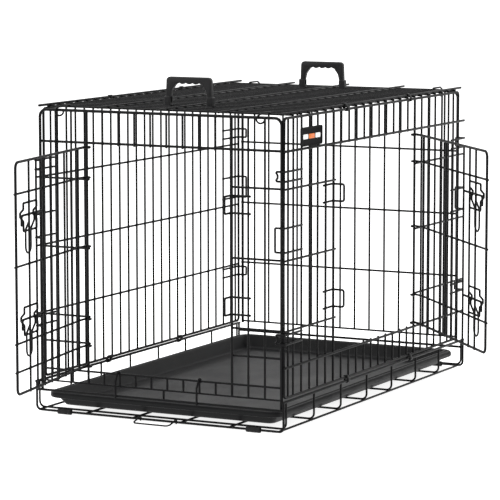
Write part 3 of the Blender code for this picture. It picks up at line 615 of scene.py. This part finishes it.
def base_frame():
    """The wire basket under the tray."""
    skin = Skin()
    x = BASE_HALF_WIDTH
    depth = BASE_HALF_DEPTH
    for side_x in (-x, x):
        skin.wire([(side_x, -depth - TIP, BASE_TOP_Z), (side_x, depth + TIP, BASE_TOP_Z)],
                  DOOR_FRAME, RAIL_SIDES)
    for y in (-depth, depth):
        corners = [(-x, y, BASE_TOP_Z), (-x, y, BASE_RAIL_Z), (x, y, BASE_RAIL_Z), (x, y, BASE_TOP_Z)]
        skin.wire(rounded(corners, BASE_BEND, FINE_STEPS), BASKET, RAIL_SIDES)
        skin.wire([(-x, y, BASE_MID_Z), (x, y, BASE_MID_Z)], FIRM)
    floor_xs = [end_wire_x(number) for number in range(0, END_GAPS + 1, FLOOR_WIRE_STEP)]
    floor_reach = depth + FLOOR_WIRE_REACH
    for wire_x in floor_xs:
        skin.wire([(wire_x, -floor_reach, FLOOR_WIRE_Z), (wire_x, floor_reach, FLOOR_WIRE_Z)], THIN)
    reach = HALF_DEPTH - TIP
    for number in range(CRADLES):
        y = -reach + 2 * reach * number / (CRADLES - 1)
        corners = [(-x, y, BASE_TOP_Z), (-x, y, CRADLE_Z), (x, y, CRADLE_Z), (x, y, BASE_TOP_Z)]
        skin.wire(rounded(corners, CRADLE_BEND, FINE_STEPS), CRADLE)
        for wire_x in floor_xs:
            skin.bead((wire_x, y, (CRADLE_Z + FLOOR_WIRE_Z) / 2), (BEAD, BEAD, BEAD_DEPTH))
    piece("base_frame_wires", skin, WIRE_COAT, "crate_frame", ["base_frame"])


# ---------------------------------------------------------------- doors and latches

def door_width(jambs):
    """A door's width, from its hinge to a little past the jamb it closes on."""
    return (jambs[1] - jambs[0] + DOOR_REACH) * PITCH


# An offset is from a hinge's axis out to the door's plane. Outward is along or against the door's own Y.
DOORS = {
    "front_door": {
        "width": door_width(FRONT_DOOR_WIRES),
        "offset": 0.0058,
        "outward": -1,
        "heights": (0.105, 0.563),
        "levels": (0.1480, 0.2045, 0.357, 0.5005),
        "latches": {"upper": 0.4546, "lower": 0.248},
    },
    "side_door": {
        "width": door_width(SIDE_DOOR_WIRES),
        "offset": 0.0088,
        "outward": 1,
        "heights": (0.142, 0.559),
        "levels": (0.2045, 0.357, 0.5005),
        "latches": {"upper": 0.4635, "lower": 0.243},
    },
}
JOINTS = {joint["name"]: joint for joint in frame["record"]["behaviour"]["joints"]}


def door_place(name):
    """The matrix from a door's own axes, with X from its hinge to its free edge, to the row frame."""
    hinge = Vector(JOINTS[name + "_hinge"]["pos_m"])
    along = Vector(JOINTS[name + "_upper_bolt_slide"]["axis"]).normalized()
    across = Vector((0, 0, 1)).cross(along)
    turn = Matrix((along, across, (0, 0, 1))).transposed().to_4x4()
    return Matrix.Translation((hinge.x, hinge.y, 0)) @ turn


def door(name):
    """A door: its outer wire and cross wires curl round the jamb as hinge loops."""
    spec = DOORS[name]
    skin = Skin()
    outward = spec["outward"]
    plane = outward * spec["offset"]
    outer = plane + outward * SINK
    width = spec["width"]
    low, high = spec["heights"]

    def knuckle(z):
        return arc((0, 0, z), KNUCKLE_RADIUS, *KNUCKLE_ARC, 16, ((1, 0, 0), (0, outward, 0)))

    corners = [(KNUCKLE_TAPER, plane, low), (width, plane, low),
               (width, plane, high), (KNUCKLE_TAPER, plane, high)]
    flat = rounded(corners, DOOR_BEND, FINE_STEPS)
    skin.wire(list(reversed(knuckle(low))) + flat + knuckle(high), DOOR_FRAME, RAIL_SIDES)
    xs = [number * PITCH for number in range(1, int(width / PITCH))]
    for x in xs:
        upright(skin, x, plane, low - TIP, high, FIRM if x == xs[0] else THIN)
    for z in spec["levels"]:
        straight = [Vector((width - DOOR_WIRE_SHORT, outer, z)), Vector((KNUCKLE_TAPER, outer, z))]
        skin.wire(straight + knuckle(z), THIN)
        for x in (*xs, width):
            skin.bead((x, (plane + outer) / 2, z), (BEAD, BEAD_DEPTH, BEAD))
    piece(name + "_wires", skin, WIRE_COAT, name, [name], door_place(name))


def guide(door_name, level):
    """The wire loop on a door that carries a bolt."""
    spec = DOORS[door_name]
    skin = Skin()
    z = spec["latches"][level]
    flat = spec["outward"] * (spec["offset"] + GUIDE_FLAT)
    bowed = spec["outward"] * (spec["offset"] + GUIDE_BOWED)
    near, far = (spec["width"] - edge for edge in GUIDE_EDGES)
    low = z - GUIDE_BELOW
    high = z + GUIDE_ABOVE
    foot, crest = GUIDE_BOW_HALVES
    corners = []
    for x, start, end, turn in ((near, low, high, 1), (far, high, low, -1)):
        corners += [(x, flat, start), (x, flat, z - turn * foot), (x, bowed, z - turn * crest)]
        corners += [(x, bowed, z + turn * crest), (x, flat, z + turn * foot), (x, flat, end)]
    skin.wire(rounded(corners, GUIDE_BEND, 4, closed=True), THIN, closed=True)
    name = f"{door_name}_{level}_bolt_guide"
    piece(name + "_wire", skin, WIRE_COAT, door_name, [name], door_place(door_name))


def pull_loop(spec, depth, z):
    """The path of a bolt's hanging pull loop: down from the rod, round the bottom and up again."""
    out = depth + spec["outward"] * PULL_OUT
    right, left = (spec["width"] - edge for edge in PULL_EDGES)
    bend_drop, out_drop, drop = PULL_DROPS
    radius = (right - left) / 2
    centre = ((right + left) / 2, out, z - drop + radius)
    bottom = arc(centre, radius, 0, -180, 14, ((1, 0, 0), (0, 0, 1)))
    down = [(right, depth, z), (right, depth, z - bend_drop), (right, out, z - out_drop), bottom[0]]
    up = [bottom[-1], (left, out, z - out_drop), (left, depth, z - bend_drop), (left, depth, z)]
    return rounded(down, PULL_BEND, 4) + bottom[1:-1] + rounded(up, PULL_BEND, 4)


def bolt(door_name, level):
    """A sliding bolt with its bent tip and hanging pull loop."""
    spec = DOORS[door_name]
    skin = Skin()
    z = spec["latches"][level]
    depth = spec["outward"] * (spec["offset"] + BOLT_OUT)
    tip = spec["width"] - BOLT_EDGE
    rod = [(tip, depth, z - BOLT_TURN_DOWN), (tip, depth, z), (tip - BOLT_LENGTH, depth, z)]
    skin.wire(rounded(rod, BOLT_BEND, FINE_STEPS), BOLT)
    loop = pull_loop(spec, depth, z)
    skin.wire(loop, PULL)
    for point in (loop[0], loop[-1]):
        skin.bead(point, PULL_BEAD)
    name = f"{door_name}_{level}_bolt"
    piece(name + "_rod", skin, WIRE_COAT, name, [name], door_place(door_name))


# ---------------------------------------------------------------- catches, hooks and clips

def staple_path(route, low, high, bend):
    """The path of a C-shaped wire: two arms along a level route, joined at the route's last point."""
    upper = [(x, y, high) for x, y in route]
    lower = [(x, y, low) for x, y in reversed(route)]
    return rounded(upper + lower, bend, 5)


def catches():
    """The staples beside each doorway that the bolts slide behind."""
    front_x = end_wire_x(FRONT_DOOR_WIRES[1])
    front_y = -HALF_DEPTH
    side_y = side_wire_y(SIDE_DOOR_WIRES[0])
    near_x = front_x - CATCH_CLEAR
    near_y = side_y + CATCH_CLEAR
    routes = {
        "front_door": [(front_x + PITCH + TIP, front_y + CATCH_CLEAR - CATCH_LAYER),
                       (near_x, front_y + CATCH_CLEAR),
                       (near_x, front_y - CATCH_REACH)],
        "side_door": [(SIDE_PLANE - CATCH_CLEAR + CATCH_LAYER, side_y - PITCH - TIP),
                      (SIDE_PLANE - CATCH_CLEAR, near_y),
                      (SIDE_PLANE + CATCH_REACH, near_y)],
    }
    for door_name, route in routes.items():
        for level, z in DOORS[door_name]["latches"].items():
            skin = Skin()
            skin.wire(staple_path(route, z - CATCH_BELOW, z + CATCH_ABOVE, CATCH_BEND), THIN)
            name = f"{door_name}_{level}_catch"
            piece(name + "_wire", skin, WIRE_COAT, "crate_frame", [name])


def corner_hook_path(side, end, level):
    """The path of a corner hook: along the side panel, round the post, and back lower down.

    The upper and lower hooks have a waist in the nose, and the middle one is wide and plain.
    """
    z, half = HOOK_LEVELS[level]
    x = side * (SIDE_PLANE + DOOR_FRAME + HOOK_OUT)
    past_post = end * (HALF_DEPTH + RAIL + HOOK_PAST_POST)
    arm_end = end * (HALF_DEPTH - HOOK_ARM)
    nose = side * (HALF_WIDTH - HOOK_NOSE)
    upper = [(x, arm_end, z + half), (x, past_post, z + half), (nose, past_post, z + half)]
    lower = [(px, py, 2 * z - pz) for px, py, pz in reversed(upper)]
    middle = []
    if level != "middle":
        post = HALF_WIDTH if end < 0 else BACK_HALF_WIDTH
        waist = side * (post - HOOK_WAIST)
        middle = [(waist, past_post, z + HOOK_WAIST_HALF), (waist, past_post, z - HOOK_WAIST_HALF)]
    return rounded(upper + middle + lower, HOOK_BEND, 5)


def corner_hooks():
    """Wire loops on the side panels that snap round the end panels' posts."""
    for end_name, end in ENDS:
        for side_name, side in SIDES:
            for level in HOOK_LEVELS:
                skin = Skin()
                skin.wire(corner_hook_path(side, end, level), THIN)
                name = f"{end_name}_{side_name}_{level}_hook"
                piece(name + "_wire", skin, WIRE_COAT, "crate_frame", [name])


def top_hooks():
    """The hooks on the roof round the end panels' top rails."""
    for end_name, end in ENDS:
        for side_name, side in SIDES:
            x = side * TOP_HOOK_X
            y = end * HALF_DEPTH
            axes = (TOP_HOOK_OUTWARD[end_name], (0, 0, 1))
            loop = arc((x, y, ROOF_Z - TOP_HOOK_DROP), TOP_HOOK_RADIUS, *TOP_HOOK_ARC, 22, axes)
            leg = [Vector((x, y - end * inset, TOP_HOOK_LEG_Z)) for inset in TOP_HOOK_LEG]
            skin = Skin()
            skin.wire(leg + loop, TOP_HOOK)
            name = f"{end_name}_{side_name}_top_hook"
            piece(name + "_wire", skin, WIRE_COAT, "crate_frame", [name])


def sill_hooks():
    """The hooks that hang on the front sill."""
    front = BASE_HALF_DEPTH + RAIL + HOOK_OUT
    for side_name, x in SILL_HOOKS.items():
        shank = [(x, -front, BASE_MID_Z - FIRM), (x, -front, FRONT_SILL_Z - SILL_HOOK_SHANK)]
        loop = arc((x, -HALF_DEPTH, FRONT_SILL_Z), SILL_HOOK_RADIUS, *SILL_HOOK_ARC, 16)
        skin = Skin()
        skin.wire(shank + loop, THIN)
        name = f"front_{side_name}_sill_hook"
        piece(name + "_wire", skin, WIRE_COAT, "crate_frame", [name])


def clip(name, y, low, high, low_radius, high_radius):
    """A bent metal band round two rails, with rounded edges."""
    start = Vector((low[0], 0, low[1]))
    end = Vector((high[0], 0, high[1]))
    along = (end - start).normalized()
    across = Vector((along.z, 0, -along.x))

    def outline(extra, at):
        """Half a turn round each rail, in steps of 15 degrees."""
        points = []
        for centre, radius, first in ((start, low_radius, 180), (end, high_radius, 0)):
            for step in range(13):
                angle = math.radians(first + 15 * step)
                spoke = across * math.cos(angle) + along * math.sin(angle)
                point = centre + spoke * (radius + extra)
                points.append((point.x, at, point.z))
        return points

    # Each outline's distance off the rails, and its place along them: round one edge, then the other.
    half = CLIP_HALF
    profile = [(0.0004, -half + 0.0004), (0.0008, -half), (0.0013, -half), (0.0018, -half + 0.0005),
               (0.0018, half - 0.0005), (0.0013, half), (0.0008, half), (0.0004, half - 0.0004)]
    skin = Skin()
    skin.stack([outline(extra, y + at) for extra, at in profile], closed=True)
    piece(name + "_band", skin, WIRE_COAT, "crate_frame", [name])


def clips():
    """The bands that join each side panel to the roof and to the base frame."""
    for side_name, side in SIDES:
        for end_name, number in CLIP_WIRES.items():
            y = side_wire_y(number)
            rail = (side * SIDE_PLANE, ROOF_Z)
            runner = (side * HALF_WIDTH, EDGE_RUNNER_Z)
            clip(f"{side_name}_{end_name}_roof_clip", y, rail, runner, DOOR_FRAME, FIRM)
            ring = (side * BASE_HALF_WIDTH, BASE_TOP_Z)
            sill = (side * SIDE_PLANE, SIDE_RAIL_Z)
            clip(f"{side_name}_{end_name}_base_clip", y, ring, sill, DOOR_FRAME, DOOR_FRAME)


# ---------------------------------------------------------------- tray, stop, feet

def rounded_rectangle(half_x, half_y, radius, z, steps=10):
    """The outline of a rounded rectangle at a height."""
    corners = [(-half_x, -half_y, z), (half_x, -half_y, z), (half_x, half_y, z), (-half_x, half_y, z)]
    return rounded(corners, radius, steps, closed=True)


def tray():
    """The plastic tray: rolled outer lip, stepped rim, sloping walls and a raised floor panel."""
    low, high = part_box("tray")
    half_x = (high[0] - low[0]) / 2
    half_y = (high[1] - low[1]) / 2
    bottom, top = low[2], high[2]
    # Each outline's inset and height: up the outside, over the rim, down the inside and along the floor.
    profile = [
        (0.080, bottom + 0.0022), (0.074, bottom + 0.0020), (0.068, bottom + 0.0002), (0.065, bottom),
        (0.040, bottom), (0.0330, bottom), (0.0295, bottom + 0.0012), (0.0270, bottom + 0.0045),
        (0.0215, bottom + 0.0130), (0.0185, bottom + 0.0175), (0.0050, bottom + 0.0178),
        (0.0014, bottom + 0.0188), (0.0, bottom + 0.0212), (0.0002, top - 0.0058), (0.0013, top - 0.0030),
        (0.0036, top - 0.0010), (0.0062, top - 0.0004), (0.0082, top - 0.0010), (0.0094, top - 0.0026),
        (0.0106, top - 0.0030), (0.0118, top - 0.0024), (0.0130, top - 0.0006), (0.0146, top),
        (0.0172, top - 0.0002), (0.0190, top - 0.0018), (0.0204, top - 0.0044), (0.0300, bottom + 0.0072),
        (0.0318, bottom + 0.0038), (0.0345, bottom + 0.0024), (0.0385, bottom + 0.0020),
        (0.0660, bottom + 0.0020), (0.0680, bottom + 0.0023), (0.0720, bottom + 0.0041),
        (0.0745, bottom + 0.0044), (0.1000, bottom + 0.0044),
    ]
    skin = Skin()
    outlines = []
    for inset, z in profile:
        corner = max(TRAY_CORNER - inset, TRAY_INNER_CORNER)
        outlines.append(rounded_rectangle(half_x - inset, half_y - inset, corner, z))
    skin.stack(outlines)
    middle = Matrix.Translation(((low[0] + high[0]) / 2, (low[1] + high[1]) / 2, 0))
    piece("tray_pan", skin, TRAY_PLASTIC, "tray", ["tray"], middle, crease=60)


def pan_stop():
    """The wire flap on the front bottom rail, with its ends curled round the rail."""
    skin = Skin()
    y = -BASE_HALF_DEPTH
    start, end = STOP_ARC
    left = arc((-STOP_HALF, y, BASE_RAIL_Z), STOP_TURN, start, end, 14)
    right = arc((STOP_HALF, y, BASE_RAIL_Z), STOP_TURN, end, start, 14)
    bar = [(-STOP_HALF, y - STOP_REACH, STOP_Z), (STOP_HALF, y - STOP_REACH, STOP_Z)]
    flap = rounded([left[-1], *bar, right[0]], STOP_BEND, 7)
    skin.wire(left[:-1] + flap + right[1:], STOP_WIRE)
    piece("pan_stop_wire", skin, WIRE_COAT, "pan_stop", ["pan_stop"])


def foot_outline(x, y, radius):
    """A ring round the bottom rail, in the YZ plane."""
    outline = []
    for side in range(FOOT_SIDES):
        angle = 2 * math.pi * side / FOOT_SIDES
        outline.append((x, y + radius * math.cos(angle), BASE_RAIL_Z + radius * math.sin(angle)))
    return outline


def feet():
    """The rubber sleeves on the bottom rails."""
    # Each ring's place along the rail and its radius: over the outside, and back through the bore.
    profile = [(-0.0160, 0.0033), (-0.0160, 0.0046), (-0.0156, 0.0054), (-0.0148, 0.0059), (-0.0090, 0.0059),
               (-0.0085, 0.0056), (-0.0075, 0.0056), (-0.0070, 0.0059), (0.0070, 0.0059), (0.0075, 0.0056),
               (0.0085, 0.0056), (0.0090, 0.0059), (0.0148, 0.0059), (0.0156, 0.0054), (0.0160, 0.0046),
               (0.0160, 0.0033), (0.0, 0.0030)]
    for end_name, end in ENDS:
        for side_name, side in SIDES:
            x = side * FOOT_X
            y = end * BASE_HALF_DEPTH
            skin = Skin()
            skin.stack([foot_outline(x + along, y, radius) for along, radius in profile], closed=True)
            name = f"{end_name}_{side_name}_foot"
            piece(name + "_sleeve", skin, FOOT_RUBBER, "crate_frame", [name], crease=60)


# ---------------------------------------------------------------- handles and nameplate

def shrunk(outline, inset):
    """An outline in the XZ plane, moved inwards by the inset."""
    count = len(outline)
    moved = []
    for index, point in enumerate(outline):
        along = (outline[(index + 1) % count] - outline[index - 1]).normalized()
        moved.append(point + Vector((-along.z, 0, along.x)) * -inset)
    return moved


def box_outline(half_x, half_y, bend):
    """Points round a rounded rectangle in its own plane, from its right side, anticlockwise."""
    points = rounded_rectangle(half_x, half_y, bend, 0, 4)
    return [(point.x, point.y) for point in points]


def grip_outline():
    """The outline of a handle's bow in the XZ plane, with the gussets and finger grooves inside it."""
    top = CROSS_Z + GRIP_TOP
    foot = CROSS_Z + GRIP_FOOT
    shelf = CROSS_Z + GRIP_SHELF
    outer = [(-GRIP_FOOT_HALF, 0, foot), (-GRIP_TOP_HALF, 0, top),
             (GRIP_TOP_HALF, 0, top), (GRIP_FOOT_HALF, 0, foot)]
    grooves = []
    for step in range(FINGER_STEPS + 1):
        x = FINGER_HALF * (1 - 2 * step / FINGER_STEPS)
        wave = math.cos(2 * math.pi * FINGER_WAVES * step / FINGER_STEPS)
        grooves.append(Vector((x, 0, top - GRIP_THICK - FINGER_GROOVE * wave)))
    leg = [(LEG_INSIDE, 0, foot), (LEG_INSIDE, 0, shelf), (GUSSET_INSIDE, 0, top - GUSSET_DROP), grooves[0]]
    right = rounded(leg, GUSSET_BEND, 5)[:-1]
    left = [Vector((-point.x, 0, point.z)) for point in reversed(right)]
    return rounded(outer, GRIP_BEND, 10) + right + grooves + left


def snap_block(skin, x, y):
    """Adds the block on a handle's foot that snaps round a roof wire, with a groove round it."""
    low = CROSS_Z - BLOCK_DROP
    high = low + BLOCK_HEIGHT
    half_x, half_y = BLOCK_HALVES
    outlines = []
    for inset, z in ((0.0010, low), (0.0, low + 0.0010), (0.0, low + 0.0085), (0.0006, low + 0.0090),
                     (0.0006, low + 0.0097), (0.0, low + 0.0102), (0.0, high - 0.0010), (0.0010, high)):
        outline = box_outline(half_x - inset, half_y - inset, BLOCK_CORNER)
        outlines.append([(x + px, y + py, z) for px, py in outline])
    skin.stack(outlines)


def handle(name, number):
    """A moulded carry handle: a flat bow with gussets and finger grooves, and a snap block on each foot."""
    y = side_wire_y(number)
    skin = Skin()
    outline = grip_outline()
    rings = []
    for inset, across in GRIP_SECTION:
        rings.append([(HANDLE_X + point.x, y + across, point.z) for point in shrunk(outline, inset)])
    skin.stack(rings)
    for side in (-1, 1):
        snap_block(skin, HANDLE_X + side * BLOCK_X, y)
    piece(name + "_grip", skin, HANDLE_PLASTIC, name, [name], crease=40)


def plate_bars(name, look, bars, thick, place):
    """Plain bars of one colour, raised a little from the nameplate's recessed face."""
    badge = Skin()
    for x, half in bars:
        outlines = []
        for inset, at in ((0, thick - 0.0012), (0, thick - 0.0004), (0.0004, thick - 0.0001)):
            outline = box_outline(half - inset, BAR_HALF_HEIGHT - inset, BAR_CORNER)
            outlines.append([(x + px, py, at) for px, py in outline])
        badge.stack(outlines)
    made = badge.object(name, place)
    made.data.materials.append(look)
    made.data.shade_smooth()
    made.data.set_sharp_from_angle(angle=math.radians(PLATE_CREASE))
    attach(made, "crate_frame")


def nameplate():
    """A plate with a raised rim and three plain bars in place of any name."""
    low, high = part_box("nameplate")
    middle = Vector(((low[0] + high[0]) / 2, (low[1] + high[1]) / 2, (low[2] + high[2]) / 2))
    half_y = (high[1] - low[1]) / 2
    half_z = (high[2] - low[2]) / 2
    thick = high[0] - low[0]
    to_row = Matrix(((0, 0, 1), (1, 0, 0), (0, 1, 0))).to_4x4()
    place = Matrix.Translation((low[0], middle.y, middle.z)) @ to_row

    # Each outline's inset and height: up the edge, over the rim and down to the recessed face.
    profile = [(0.0006, 0), (0.0, 0.0005), (0.0, thick - 0.0007), (0.0003, thick - 0.0002), (0.0009, thick),
               (0.0022, thick), (0.0027, thick - 0.0002), (0.0031, thick - 0.0009), (0.0036, thick - 0.0010)]
    outlines = []
    for inset, at in profile:
        corner = max(PLATE_CORNER - inset, PLATE_INNER_CORNER)
        outlines.append(rounded_rectangle(half_y - inset, half_z - inset, corner, at, 6))
    plate = Skin()
    plate.stack(outlines)
    piece("nameplate_blank", plate, PLATE_BLACK, "crate_frame", ["nameplate"], place, crease=PLATE_CREASE)
    plate_bars("nameplate_white_bars", PLATE_WHITE, WHITE_BARS, thick, place)
    plate_bars("nameplate_orange_bars", PLATE_ORANGE, ORANGE_BARS, thick, place)


# ---------------------------------------------------------------- build

front_panel()
back_panel()
side_panel("left_side_panel", -1, doorway=False)
side_panel("right_side_panel", 1, doorway=True)
top_panel()
base_frame()
for door_name in DOORS:
    door(door_name)
    for latch_level in ("upper", "lower"):
        guide(door_name, latch_level)
        bolt(door_name, latch_level)
catches()
corner_hooks()
top_hooks()
sill_hooks()
clips()
tray()
pan_stop()
feet()
for handle_name, wire_number in HANDLE_WIRES.items():
    handle(handle_name, wire_number)
nameplate()

# ---------------------------------------------------------------- floor, light and camera

FLOOR_HALF = 30
FLOOR_Z = -0.0004                # just under the feet
FLOOR_GLOW = 0.85
ROOM_GLOW = 1.08
SOFTBOXES = (("overhead_softbox", (-0.2, 0.2, 3.2), 3.5, 85), ("front_softbox", (-2.6, -3.2, 2.2), 2.2, 30))
SOFTBOX_AIM = (0, 0, 0.3)
LENS = 201.75                    # millimetres
CAMERA_PLACE = (2.7695, -5.4292, 1.0642)
CAMERA_YAW = 27.219              # degrees
CAMERA_PITCH = -7.067
CAMERA_ROLL = -0.034


def studio_floor():
    """A pale floor that glows a little."""
    mesh = bpy.data.meshes.new("studio_floor")
    size = FLOOR_HALF
    corners = [(-size, -size, 0), (size, -size, 0), (size, size, 0), (-size, size, 0)]
    mesh.from_pydata(corners, [], [(0, 1, 2, 3)])
    floor = bpy.data.objects.new("studio_floor", mesh)
    floor.location.z = FLOOR_Z
    bpy.context.scene.collection.objects.link(floor)
    paint = bpy.data.materials.new("studio_floor_paint")
    paint.use_nodes = True
    shader = paint.node_tree.nodes["Principled BSDF"]
    shader.inputs["Base Color"].default_value = (0.6, 0.6, 0.6, 1)
    shader.inputs["Roughness"].default_value = 0.9
    shader.inputs["Specular IOR Level"].default_value = 0.1
    shader.inputs["Emission Color"].default_value = (1, 1, 1, 1)
    shader.inputs["Emission Strength"].default_value = FLOOR_GLOW
    mesh.materials.append(paint)


def studio_light():
    """A white room and soft lights."""
    world = bpy.data.worlds.new("studio_world")
    bpy.context.scene.world = world
    world.use_nodes = True
    background = world.node_tree.nodes["Background"]
    background.inputs["Color"].default_value = (1, 1, 1, 1)
    background.inputs["Strength"].default_value = ROOM_GLOW

    for name, place, size, power in SOFTBOXES:
        light = bpy.data.lights.new(name, "AREA")
        light.shape = "SQUARE"
        light.size = size
        light.energy = power
        lamp = bpy.data.objects.new(name, light)
        lamp.location = Vector(place) + CENTRE
        aim = Vector(SOFTBOX_AIM) + CENTRE - lamp.location
        lamp.rotation_mode = "QUATERNION"
        lamp.rotation_quaternion = aim.to_track_quat("-Z", "Y")
        bpy.context.scene.collection.objects.link(lamp)
    bpy.context.scene.view_settings.view_transform = "Standard"


def camera():
    """The camera, a long lens from in front, to the right and a little above."""
    data = bpy.data.cameras.new("camera")
    data.lens = LENS
    data.sensor_width = 36
    data.clip_end = 100
    made = bpy.data.objects.new("camera", data)
    made.location = CENTRE + Vector(CAMERA_PLACE)
    turn = Matrix.Rotation(math.radians(CAMERA_YAW), 4, "Z")
    turn = turn @ Matrix.Rotation(math.pi / 2 + math.radians(CAMERA_PITCH), 4, "X")
    turn = turn @ Matrix.Rotation(math.radians(CAMERA_ROLL), 4, "Z")
    made.rotation_mode = "QUATERNION"
    made.rotation_quaternion = turn.to_quaternion()
    bpy.context.scene.collection.objects.link(made)
    bpy.context.scene.camera = made


studio_floor()
studio_light()
camera()
